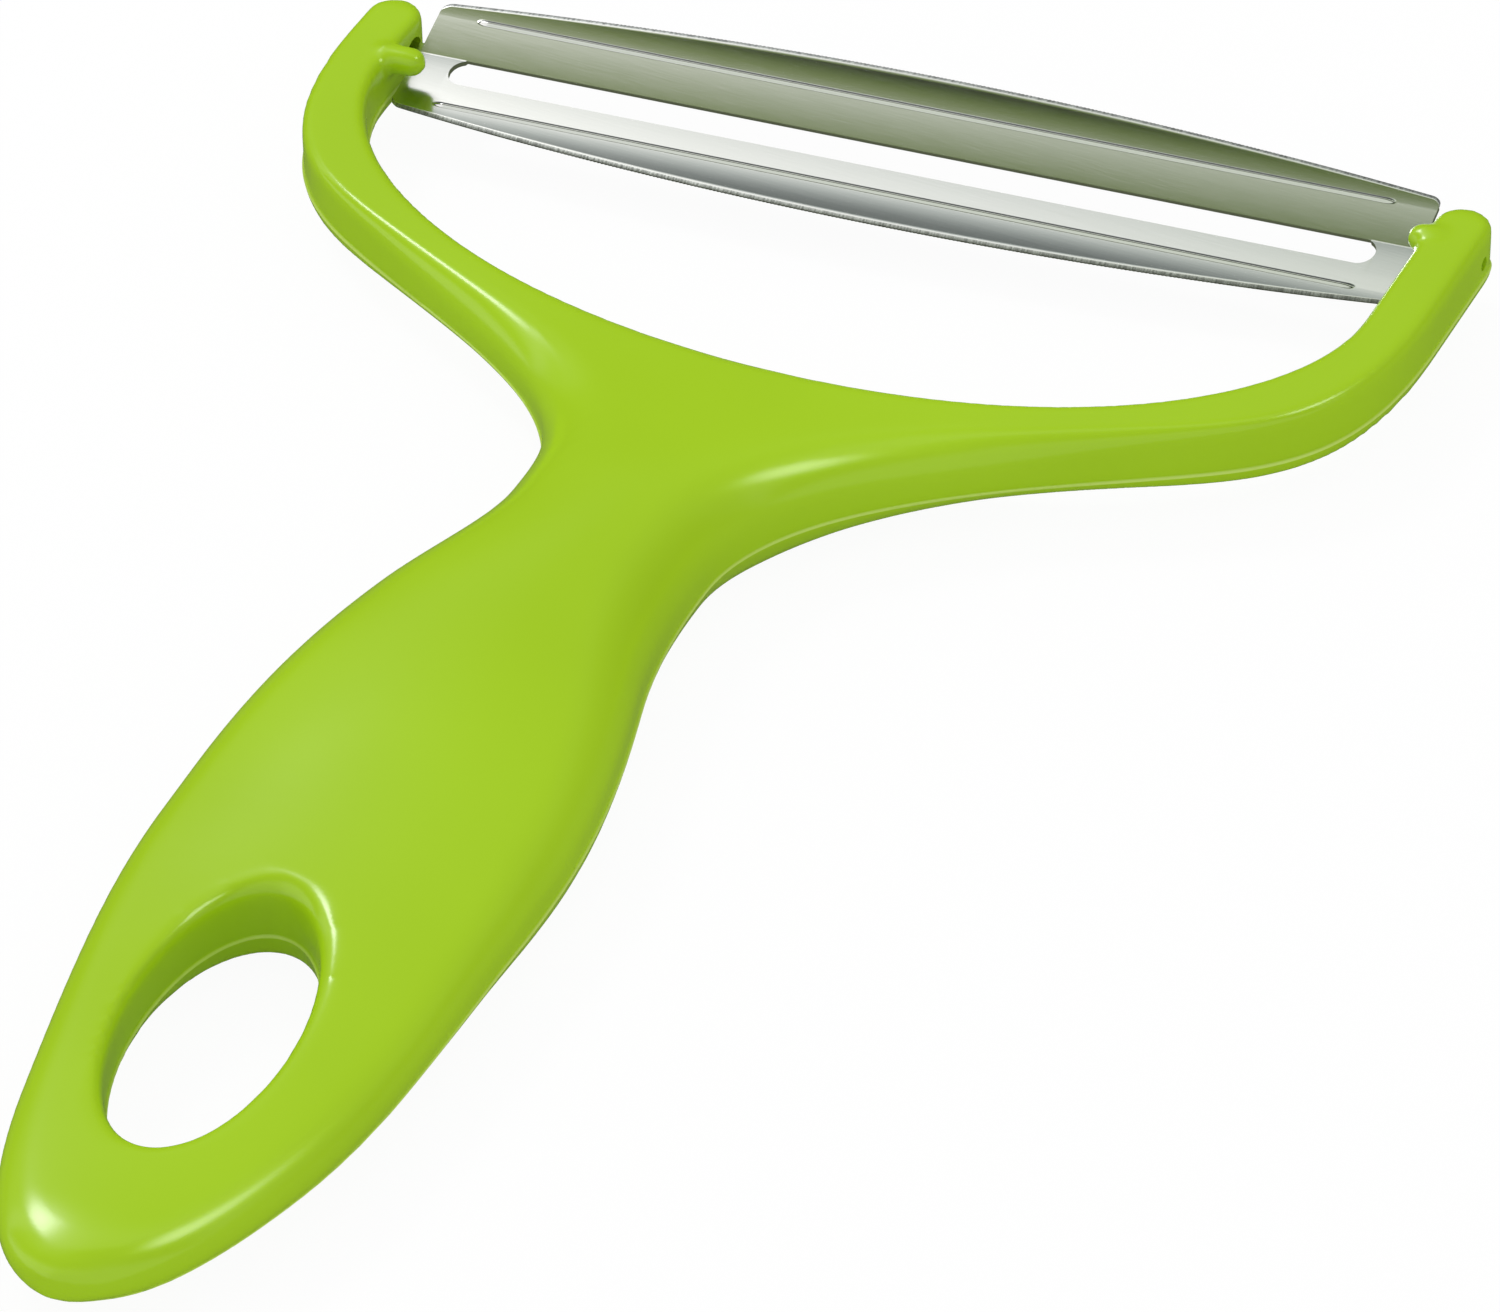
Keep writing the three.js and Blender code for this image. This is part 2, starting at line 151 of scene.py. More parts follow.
# Swivel: along its axis, WALL is the inner wall of an arm. Keys are the sides, -1 at the left and 1 at the right.
AXIS_Y = 2.6
WALL = GAP_HALF_WIDTH / math.cos(SLANT)
PIVOT_DIAMETER = 3.2
PIVOT_DEPTH = 3.6
PIVOT_ENTRY = 3.0
VENT_DIAMETER = 1.4
VENT_REACH = 12.0
ROD_SEGMENTS = 40
PEG_DIAMETER = 3.0
PEG_RISE = 2.45
PEG_ROOT = 1.5
PEG_LENGTHS = {-1: 3.3, 1: 1.8}
PEG_OFFSETS = {-1: -4.9, 1: -1.1}
PEG_RINGS = 24

# Step at the mould's parting line: its rise as a share of its depth, and how many depths it takes to fade out below
LEDGE_RISE = 0.6
LEDGE_FADE = 6
MOULDING_SHARP = math.radians(75)

# Blade. Its curves are turns per millimetre: the sheet curls outside the beads, and the bands between them are faintly
# crowned. Each reach is given in the middle and at the ends.
BLADE_CLEARANCE = 0.7
BLADE_HALF_LENGTH = (GAP_HALF_WIDTH - BLADE_CLEARANCE) / math.cos(SLANT)
SHEET = 0.6
EDGE_SHEET = 0.3
NEAR_SLOPE = math.radians(14)
FAR_SLOPE = math.radians(24)
LENS_CURVE = math.radians(2.2)
BAND_CURVE = math.radians(0.5)
FAR_REACH = (8.5, 6.1)
NEAR_REACH = (10.3, 7.2)
BLADE_CORNER = 1.0
CORNER_SHARE = 0.8
CREASE_LIP = 0.12
BLADE_SHARP = math.radians(50)

# Beads, whose ends taper. They are narrower than those of the solids.
NEAR_BEAD_OFFSET = 6.1
FAR_BEAD_OFFSET = 4.65
BEAD_HALF_WIDTH = 0.33
BEAD_LIP = 0.06
BEAD_END = 1.3
BEAD_MARGIN = 4.15
BEAD_HALF_LENGTH = BLADE_HALF_LENGTH - BEAD_MARGIN

# Slot and tongues
SLOT_WIDTH = 3.2
SLOT_MARGIN = 3.9
SLOT_RUN = BLADE_HALF_LENGTH - SLOT_MARGIN - SLOT_WIDTH / 2
TONGUE_HALF_WIDTH = 1.1
TONGUE_CLEARANCE = 0.4
TONGUE_TIP = WALL + PIVOT_DEPTH - TONGUE_CLEARANCE
TONGUE_ROOT = 0.04

# Teeth reach this share of the half length, and fade out over the last part of it
TOOTHED_SHARE = 0.8
TOOTH_FADE = 0.2

# Rows and columns of the sheet: how finely its parts are divided, and the least distances between them
END_COLUMNS = (0.0, 0.04, 0.12, 0.25)
SLOT_END_TURN = 9
BEAD_END_STEPS = 8
BEAD_STEPS = 4
BAND_STEPS = 4
LENS_STEPS = 8
LENS_LIP = 0.2
ROW_GAP = 0.02
COLUMN_GAP = 1e-6

# Camera in the frame that the shapes are drawn in
CAMERA_PLACE = Vector((276.8, -600.1, 473.8))
CAMERA_RIGHT = Vector((0.9029, 0.4297, -0.0143))
CAMERA_UP = Vector((-0.2605, 0.5731, 0.7770))
CAMERA_BACK = Vector((0.3420, -0.6978, 0.6293))
CAMERA_LENS = 199.8
CAMERA_SENSOR = 36.0

# Key light, in metres
KEY_PLACE = Vector((-0.66, 0.33, 0.88))
KEY_SIZE = 0.25

# Room that glosses show, as (share of the half turn from the horizon ahead over the top, linear colour). Some of it is
# brighter than white.
ROOM = (
    (0.0, (0.02, 0.02, 0.02, 1.0)),
    (0.16, (0.04, 0.04, 0.04, 1.0)),
    (0.22, (0.27, 0.27, 0.28, 1.0)),
    (0.27, (0.16, 0.18, 0.17, 1.0)),
    (0.31, (0.18, 0.20, 0.20, 1.0)),
    (0.35, (0.55, 0.60, 0.58, 1.0)),
    (0.38, (1.15, 1.16, 1.14, 1.0)),
    (0.44, (1.15, 1.16, 1.12, 1.0)),
    (0.485, (0.29, 0.35, 0.19, 1.0)),
    (0.515, (0.20, 0.26, 0.08, 1.0)),
    (0.532, (0.12, 0.18, 0.035, 1.0)),
    (0.55, (0.04, 0.045, 0.04, 1.0)),
    (0.61, (0.04, 0.04, 0.04, 1.0)),
    (0.64, (0.22, 0.22, 0.22, 1.0)),
    (0.69, (1.1, 1.1, 1.1, 1.0)),
    (0.90, (1.1, 1.1, 1.1, 1.0)),
    (1.0, (1.0, 1.0, 1.0, 1.0)),
)

# The left of the room is the brighter side: FALL multiplies its colours between these places from left to right
FALL_FROM = -0.36
FALL_TO = -0.21
FALL = (
    (0.0, (1.2, 1.18, 1.15, 1.0)),
    (0.5, (1.0, 1.0, 1.0, 1.0)),
    (1.0, (0.72, 0.77, 0.66, 1.0)),
)

# Soft box that only glosses show: its direction, angular radius, share of the radius at full power, brightness, and the
# ray depth below which it is seen
RIGHT_BOX = Vector((0.54, 0.17, 0.78)).normalized()
RIGHT_BOX_RADIUS = math.radians(13)
RIGHT_BOX_CORE = 0.6
RIGHT_BOX_POWER = 7.0
RIGHT_BOX_DEPTH = 2.5

# Floor, and how much of what the camera sees of it is plain white glow
FLOOR_SIZE = 3.0
FLOOR_DROP = 0.0002
FLOOR_GLOW = 0.95
WHITE = (1.0, 1.0, 1.0, 1.0)


def linear(colour):
    """sRGB hex to linear RGBA."""
    channels = [int(colour[i:i + 2], 16) / 255 for i in (0, 2, 4)]
    return tuple(c / 12.92 if c <= 0.04045 else ((c + 0.055) / 1.055) ** 2.4 for c in channels) + (1.0,)


def shaded(colour, share):
    """A linear colour made darker or lighter."""
    return tuple(min(c * share, 1.0) for c in colour[:3]) + (1.0,)


def add_node(tree, kind, settings=None, inputs=None, links=()):
    """A node with its settings, its unlinked inputs and links given as (input, node, output)."""
    node = tree.nodes.new(kind)
    for name, value in (settings or {}).items():
        setattr(node, name, value)
    for name, value in (inputs or {}).items():
        node.inputs[name].default_value = value
    for name, source, output in links:
        tree.links.new(source.outputs[output], node.inputs[name])
    return node


def set_ramp(node, stops):
    """Colour stops of a ramp, as (place, colour)."""
    elements = node.color_ramp.elements
    while len(elements) < len(stops):
        elements.new(0.5)
    for element, (place, colour) in zip(elements, stops):
        element.position = place
        element.color = colour


def new_material(name):
    """An empty node material and its tree."""
    material = bpy.data.materials.new(name)
    material.use_nodes = True
    material.node_tree.nodes.clear()
    return material, material.node_tree


def mix(a, b, t):
    """Value that lies at share t of the way from a to b."""
    return a + (b - a) * t


def ease(t):
    """Share t with a soft start and end."""
    return t * t * (3 - 2 * t)


def along(stations, y):
    """Value at y of a smooth curve through (y, value) stations that run towards the handle end."""
    if y >= stations[0][0]:
        return stations[0][1]
    for (y0, v0), (y1, v1) in zip(stations, stations[1:]):
        if y >= y1:
            return mix(v0, v1, ease((y0 - y) / (y0 - y1)))
    return stations[-1][1]


def placed(point):
    """A drawn point in millimetres, in the part's own frame in metres."""
    return (point + DRAWN_ORIGIN) * MM


def on_axis(point):
    """A point drawn along the swivel axis, turned and moved onto it."""
    return Matrix.Rotation(SLANT, 3, "Z") @ point + Vector((0.0, AXIS_Y, 0.0))


def skin(rings):
    """A closed bmesh through rings with equal point counts: a grid wrapped into a tube, its ends filled."""
    count = len(rings[0])
    bm = bmesh.new()
    bmesh.ops.create_grid(bm, x_segments=count, y_segments=len(rings) - 1, size=1.0)
    bm.verts.ensure_lookup_table()
    for index, vert in enumerate(bm.verts):
        row, column = divmod(index, count + 1)
        vert.co = rings[row][column % count]
    bmesh.ops.remove_doubles(bm, verts=bm.verts[:], dist=WELD)
    bmesh.ops.holes_fill(bm, edges=[e for e in bm.edges if e.is_boundary], sides=0)
    bmesh.ops.recalc_face_normals(bm, faces=bm.faces[:])
    return bm


def to_object(bm, name):
    """An object in the scene that takes over a bmesh."""
    mesh = bpy.data.meshes.new(name)
    bm.to_mesh(mesh)
    bm.free()
    obj = bpy.data.objects.new(name, mesh)
    bpy.context.scene.collection.objects.link(obj)
    return obj


def apply_modifiers(obj):
    """Bakes an object's modifiers into its mesh."""
    bpy.context.view_layer.update()
    evaluated = obj.evaluated_get(bpy.context.evaluated_depsgraph_get())
    mesh = bpy.data.meshes.new_from_object(evaluated)
    obj.modifiers.clear()
    old = obj.data
    obj.data = mesh
    bpy.data.meshes.remove(old)


def discard(obj):
    """Removes a helper object and its mesh."""
    mesh = obj.data
    bpy.data.objects.remove(obj)
    bpy.data.meshes.remove(mesh)


def cut(obj, cutters):
    """Takes the cutters out of an object."""
    for cutter in cutters:
        modifier = obj.modifiers.new("cut", "BOOLEAN")
        modifier.operation = "DIFFERENCE"
        modifier.solver = "EXACT"
        modifier.object = cutter
    apply_modifiers(obj)


def section(half_width, lean, edge, crown, bottom, radius):
    """Closed (x, z) section: upright sides, rounded edges, a crowned top and a flat underside."""
    across = min(radius * lean, half_width * WIDTH_SHARE)
    upper = min(radius, edge * EDGE_SHARE)
    lower = min(radius, bottom * BOTTOM_SHARE)
    flat = half_width - across
    top, under = [], []
    for i in range(CORNER_STEPS + 1):
        angle = i / CORNER_STEPS * math.pi / 2
        x = flat + across * math.cos(angle)
        top.append((x, edge - upper + upper * math.sin(angle)))
        under.append((x, -bottom + lower - lower * math.sin(angle)))
    shares = [k / FACE_STEPS for k in range(FACE_STEPS - 1, 0, -1)]
    top += [(flat * k, edge) for k in shares]
    under += [(flat * k, -bottom) for k in shares]
    top = [(x, z + crown * (1 - (x / half_width) ** 2)) for x, z in top]
    left_top = [(-x, z) for x, z in reversed(top)]
    left_under = [(-x, z) for x, z in under]
    return top + [(0.0, edge + crown)] + left_top + left_under + [(0.0, -bottom)] + list(reversed(under))


def body_rings():
    """Sections of handle, neck and yoke from the shoulders to the end of the handle, close together at that end."""
    last = len(OUTLINE) - 1
    rings = []
    for part, (p0, p1, p2, p3) in enumerate(OUTLINE):
        steps = OUTLINE_STEPS[part]
        for i in range(0 if part == 0 else 1, steps + 1):
            t = math.sin(i / steps * math.pi / 2) if part == last else i / steps
            p = p0 * (1 - t) ** 3 + p1 * (3 * t * (1 - t) ** 2) + p2 * (3 * t * t * (1 - t)) + p3 * t ** 3
            run = (p1 - p0) * (1 - t) ** 2 + (p2 - p1) * (2 * t * (1 - t)) + (p3 - p2) * t * t
            lean = 1 / max(abs(run.normalized().y), LEAST_LEAN)
            inset = 1 - min((p.y - END_Y) / END_ROUND, 1)
            end = math.sqrt(max(1 - inset * inset, 0.0))
            ring = section(
                max(p.x, END_HALF_WIDTH),
                lean,
                along(EDGE_STATIONS, p.y) * mix(END_SHARE, 1, end),
                along(CROWN_STATIONS, p.y) * end,
                along(BOTTOM_STATIONS, p.y) * mix(END_SHARE, 1, end),
                along(ROUND_STATIONS, p.y),
            )
            shift = along(SHIFT_STATIONS, p.y)
            rings.append([placed(Vector((x + shift, p.y, z))) for x, z in ring])
    return rings


def arm_rings(side):
    """Sections of an arm from inside the shoulder to its rounded tip."""
    half = ARM_WIDTH / 2
    middle = side * (HALF_YOKE - half)
    tip = middle * math.tan(SLANT) + AXIS_Y + ARM_BEYOND_AXIS
    stations = [(SHOULDER_Y - ARM_ROOT, half, HALF_THICKNESS)]
    for i in range(TIP_STEPS + 1):
        angle = i / TIP_STEPS * TIP_TURN
        drop = EDGE_ROUND * (1 - math.cos(angle)) * TIP_DROP
        stations.append((tip - half * (1 - math.sin(angle)), half * math.cos(angle), HALF_THICKNESS - drop))
    rings = []
    for y, width, height in stations:
        ring = section(width, 1, height, 0.0, height, EDGE_ROUND)
        rings.append([placed(Vector((x + middle, y, z))) for x, z in ring])
    return rings


def gap_loop(offset):
    """Plan of the gap in the yoke, half an ellipse that is open past the arms, grown by an offset."""
    points = [Vector((GAP_HALF_WIDTH + offset, GAP_REACH))]
    for i in range(GAP_STEPS + 1):
        angle = i / GAP_STEPS * math.pi
        rim = Vector((GAP_HALF_WIDTH * math.cos(angle), GAP_CENTRE_Y - GAP_DEPTH * math.sin(angle)))
        normal = Vector((math.cos(angle) / GAP_HALF_WIDTH, -math.sin(angle) / GAP_DEPTH)).normalized()
        points.append(rim + normal * offset)
    points.append(Vector((-GAP_HALF_WIDTH - offset, GAP_REACH)))
    return points


def hole_loop(offset):
    """Plan of the hanging hole, a tilted ellipse, grown by an offset."""
    a = HOLE_WIDTH / 2 + offset
    b = HOLE_LENGTH / 2 + offset
    points = []
    for i in range(HOLE_STEPS):
        angle = i / HOLE_STEPS * math.tau
        rim = Matrix.Rotation(HOLE_TILT, 2) @ Vector((a * math.cos(angle), b * math.sin(angle)))
        points.append(rim + Vector((0.0, HOLE_Y)))
    return points


def flared_cutter(loop, top, bottom, radius):
    """A cutter whose wall flares out at the top and bottom, so that the rim it leaves is rounded."""
    flare = []
    for i in range(FLARE_STEPS + 1):
        angle = FLARE_TURN * i / FLARE_STEPS
        flare.append((radius * (math.sin(angle) - 1), radius * (1 - math.cos(angle))))
    rise, out = flare[-1]
    flare += [(rise + up, out + wider) for up, wider in FLARE_RUNOUT]
    lower = [[placed(Vector((p.x, p.y, bottom(p.y) - lift))) for p in loop(offset)] for lift, offset in flare]
    upper = [[placed(Vector((p.x, p.y, top(p.y) + lift))) for p in loop(offset)] for lift, offset in flare]
    return skin(lower[::-1] + upper)


def rod(diameter, start, end):
    """A closed rod along the swivel axis from start to end."""
    bm = bmesh.new()
    bmesh.ops.create_cone(
        bm, cap_ends=True, segments=ROD_SEGMENTS, radius1=diameter / 2, radius2=diameter / 2,
        depth=abs(end - start),
    )
    for vert in bm.verts:
        vert.co = placed(on_axis(Vector((vert.co.z + (start + end) / 2, vert.co.x, vert.co.y))))
    return bm


def peg(side):
    """A stop peg with a round tip, rooted in the inner wall of an arm."""
    radius = PEG_DIAMETER / 2
    bm = bmesh.new()
    bmesh.ops.create_uvsphere(bm, u_segments=ROD_SEGMENTS, v_segments=PEG_RINGS, radius=radius)
    for vert in bm.verts:
        tip = vert.co.z > 0
        x = WALL - PEG_LENGTHS[side] + radius - vert.co.z if tip else WALL + PEG_ROOT
        vert.co = placed(on_axis(Vector((side * x, vert.co.x + PEG_OFFSETS[side], vert.co.y + PEG_RISE))))
    bmesh.ops.remove_doubles(bm, verts=bm.verts[:], dist=WELD)
    bmesh.ops.recalc_face_normals(bm, faces=bm.faces[:])
    return bm


def lime_plastic(colour, parting):
    """Injection-moulded ABS: an even, bright colour under a clear gloss that is soft at the edges of highlights."""
    material, tree = new_material("lime_moulded_abs")
    place = add_node(tree, "ShaderNodeTexCoord")
    # Flow of the melt: broad, faint drifts of colour about 40 mm long.
    flow = add_node(
        tree, "ShaderNodeTexNoise", inputs={"Scale": 1 / 0.04, "Detail": 2.0, "Roughness": 0.5},
        links=[("Vector", place, "Object")],
    )
    tint = add_node(tree, "ShaderNodeValToRGB", links=[("Fac", flow, "Fac")])
    set_ramp(tint, [(0.35, shaded(colour, 0.96)), (0.65, shaded(colour, 1.03))])
    # Painted highlight along the mould's parting line: a lighter line 0.3 mm high at the parting height, where the
    # parting step catches the light.
    parts = add_node(tree, "ShaderNodeSeparateXYZ", links=[("Vector", place, "Object")])
    above = add_node(tree, "ShaderNodeMath", {"operation": "SUBTRACT"}, {1: parting - 0.00005}, [(0, parts, "Z")])
    off = add_node(tree, "ShaderNodeMath", {"operation": "ABSOLUTE"}, links=[(0, above, "Value")])
    line = add_node(
        tree, "ShaderNodeMapRange", inputs={"From Min": 0.00008, "From Max": 0.00018, "To Min": 0.6, "To Max": 0.0},
        links=[("Value", off, "Value")],
    )
    painted_parting_highlight = add_node(
        tree, "ShaderNodeMix", {"data_type": "RGBA"}, {"B": linear("D3EB7C")},
        [("Factor", line, "Result"), ("A", tint, "Color")],
    )
    # Mould polish: a fine unevenness about 0.6 mm across.
    polish = add_node(
        tree, "ShaderNodeTexNoise", inputs={"Scale": 1 / 0.0006, "Detail": 1.0},
        links=[("Vector", place, "Object")],
    )
    gloss = add_node(
        tree, "ShaderNodeMapRange", inputs={"To Min": 0.18, "To Max": 0.25}, links=[("Value", flow, "Fac")],
    )
    bump = add_node(
        tree, "ShaderNodeBump", inputs={"Strength": 0.03, "Distance": 0.00005}, links=[("Height", polish, "Fac")],
    )
    shader = add_node(
        tree, "ShaderNodeBsdfPrincipled",
        inputs={"IOR": 1.53, "Specular IOR Level": 0.42},
        links=[("Base Color", painted_parting_highlight, "Result"), ("Roughness", gloss, "Result"), ("Normal", bump, "Normal")],
    )
    add_node(tree, "ShaderNodeOutputMaterial", links=[("Surface", shader, "BSDF")])
    return material


def rolled_steel(colour):
    """Bright rolled stainless sheet: a clear mirror, softened by fine rolling lines along the strip."""
    material, tree = new_material("rolled_stainless_steel")
    place = add_node(tree, "ShaderNodeTexCoord")
    # Rolling lines run along the blade: 0.15 mm apart and about 12 mm long.
    lines = add_node(
        tree, "ShaderNodeMapping",
        inputs={"Rotation": (0.0, 0.0, -SLANT), "Scale": (1 / 0.012, 1 / 0.00015, 1 / 0.00015)},
        links=[("Vector", place, "Object")],
    )
    grain = add_node(
        tree, "ShaderNodeTexNoise", inputs={"Scale": 1.0, "Detail": 2.0}, links=[("Vector", lines, "Vector")],
    )
    gloss = add_node(
        tree, "ShaderNodeMapRange", inputs={"To Min": 0.12, "To Max": 0.2}, links=[("Value", grain, "Fac")],
    )
    bump = add_node(
        tree, "ShaderNodeBump", inputs={"Strength": 0.06, "Distance": 0.00002}, links=[("Height", grain, "Fac")],
    )
    shader = add_node(
        tree, "ShaderNodeBsdfPrincipled",
        inputs={"Base Color": colour, "Metallic": 1.0},
        links=[("Roughness", gloss, "Result"), ("Normal", bump, "Normal")],
    )
    add_node(tree, "ShaderNodeOutputMaterial", links=[("Surface", shader, "BSDF")])
    return material


def ground_steel(colour):
    """The same steel ground to an edge: cross scratches make it duller and darker than the sheet."""
    material, tree = new_material("ground_stainless_edge")
    place = add_node(tree, "ShaderNodeTexCoord")
    # Grinding marks cross the edge, 0.2 mm apart.
    marks = add_node(
        tree, "ShaderNodeMapping",
        inputs={"Rotation": (0.0, 0.0, -SLANT), "Scale": (1 / 0.0002, 1 / 0.004, 1 / 0.004)},
        links=[("Vector", place, "Object")],
    )
    grit = add_node(
        tree, "ShaderNodeTexNoise", inputs={"Scale": 1.0, "Detail": 3.0}, links=[("Vector", marks, "Vector")],
    )
    tone = add_node(tree, "ShaderNodeValToRGB", links=[("Fac", grit, "Fac")])
    set_ramp(tone, [(0.38, shaded(colour, 0.5)), (0.62, colour)])
    bump = add_node(
        tree, "ShaderNodeBump", inputs={"Strength": 0.3, "Distance": 0.00005}, links=[("Height", grit, "Fac")],
    )
    shader = add_node(
        tree, "ShaderNodeBsdfPrincipled", inputs={"Metallic": 1.0, "Roughness": 0.38},
        links=[("Base Color", tone, "Color"), ("Normal", bump, "Normal")],
    )
    add_node(tree, "ShaderNodeOutputMaterial", links=[("Surface", shader, "BSDF")])
    return material


class MouldingSettings(bpy.types.PropertyGroup):
    colour: FloatVectorProperty(
        name="Plastic colour", description="Colour of the moulded plastic", subtype="COLOR", size=4,
        default=linear("A3CC18"), min=0.0, max=1.0,
    )
    grain: FloatProperty(
        name="Skin grain", description="Size of the faces of the moulded skin", default=0.00047, unit="LENGTH",
    )
    smoothing: IntProperty(
        name="Smoothing", description="Passes that even out the moulded skin", default=4,
    )
    parting: FloatProperty(
        name="Parting height", description="Height of the mould's parting line", default=0.0047, unit="LENGTH",
    )
    ledge: FloatProperty(
        name="Parting step", description="How far the lower half of the mould stands proud at the parting line",
        default=0.0002, unit="LENGTH",
    )


class BladeSettings(bpy.types.PropertyGroup):
    steel: FloatVectorProperty(
        name="Steel colour", description="Colour of the rolled sheet", subtype="COLOR", size=4,
        default=linear("D9DAD9"), min=0.0, max=1.0,
    )
    tooth: FloatProperty(
        name="Tooth pitch", description="Distance from tooth to tooth on the outer edges",
        default=0.0004, unit="LENGTH",
    )
    tooth_depth: FloatProperty(
        name="Tooth depth", description="Depth of the teeth on the outer edges", default=0.00006, unit="LENGTH",
    )
    ground_width: FloatProperty(
        name="Ground width", description="Width of the ground strip along the outer edges",
        default=0.00035, unit="LENGTH",
    )
    bead_height: FloatProperty(
        name="Bead height", description="Height of the two pressed beads", default=0.00023, unit="LENGTH",
    )


class StageSettings(bpy.types.PropertyGroup):
    floor: FloatVectorProperty(
        name="Floor colour", description="Colour of the floor", subtype="COLOR", size=4,
        default=linear("F4F4F4"), min=0.0, max=1.0,
    )
    sky: FloatProperty(
        name="Sky", description="Strength of the even light from all round", default=0.86,
    )
    key_power: FloatProperty(
        name="Key light", description="Power of the soft light at the left", default=3.2, unit="POWER",
    )


class PEELER_OT_moulding(bpy.types.Operator):
    """Moulds the handle, yoke, arms and stop pegs as one smooth skin with a parting line"""

    bl_idname = "peeler.moulding"
    bl_label = "Moulded handle"

    def execute(self, context):
        settings = context.scene.peeler_moulding
        gap = to_object(
            flared_cutter(gap_loop, lambda y: HALF_THICKNESS, lambda y: -HALF_THICKNESS, EDGE_ROUND), "gap_cutter",
        )
        hole = to_object(
            flared_cutter(
                hole_loop,
                lambda y: along(EDGE_STATIONS, y) + along(CROWN_STATIONS, y) * HOLE_CROWN,
                lambda y: -along(BOTTOM_STATIONS, y),
                HOLE_RIM,
            ),
            "hole_cutter",
        )
        pivots = []
        for side in (-1, 1):
            pocket = rod(PIVOT_DIAMETER, side * (WALL - PIVOT_ENTRY), side * (WALL + PIVOT_DEPTH))
            vent = rod(VENT_DIAMETER, side * WALL, side * (WALL + VENT_REACH))
            pivots += [to_object(pocket, "pocket"), to_object(vent, "vent")]
        body = to_object(skin(body_rings()), "moulded_handle")
        cut(body, [gap, hole])
        arms = [to_object(skin(arm_rings(side)), "arm") for side in (-1, 1)]
        pegs = [to_object(peg(side), "peg") for side in (-1, 1)]
        bm = bmesh.new()
        for source in [body] + arms + pegs:
            bm.from_mesh(source.data)
        bm.to_mesh(body.data)
        bm.free()
        remesh = body.modifiers.new("skin", "REMESH")
        remesh.mode = "VOXEL"
        remesh.voxel_size = settings.grain
        apply_modifiers(body)
        self.finish_skin(body, settings)
        # The pivot holes come last, so that their edges stay crisp.
        cut(body, pivots)
        body.data.set_sharp_from_angle(angle=MOULDING_SHARP)
        for extra in [gap, hole] + pivots + arms + pegs:
            discard(extra)
        body.data.materials.clear()
        body.data.materials.append(lime_plastic(tuple(settings.colour), settings.parting))
        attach(body, "frame")
        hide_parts("handle_frame")
        return {"FINISHED"}

    def finish_skin(self, body, settings):
        """Evens out the skin, then steps it at the mould's parting line."""
        bm = bmesh.new()
        bm.from_mesh(body.data)
        for _ in range(settings.smoothing):
            bmesh.ops.smooth_vert(
                bm, verts=bm.verts[:], factor=0.5, use_axis_x=True, use_axis_y=True, use_axis_z=True,
            )
        step = settings.ledge * LEDGE_RISE
        for height in (settings.parting, settings.parting + step):
            bmesh.ops.bisect_plane(
                bm, geom=bm.verts[:] + bm.edges[:] + bm.faces[:], dist=WELD,
                plane_co=(0.0, 0.0, height), plane_no=(0.0, 0.0, 1.0),
            )
        bm.normal_update()
        fade = LEDGE_FADE * settings.ledge
        moves = []
        for vert in bm.verts:
            drop = settings.parting - vert.co.z
            if -SLACK <= drop < fade:
                out = Vector((vert.normal.x, vert.normal.y, 0.0))
                moves.append((vert, out * settings.ledge * (1 - max(drop, 0.0) / fade)))
        for vert, move in moves:
            vert.co += move
        for face in bm.faces:
            face.smooth = True
        bm.to_mesh(body.data)
        bm.free()


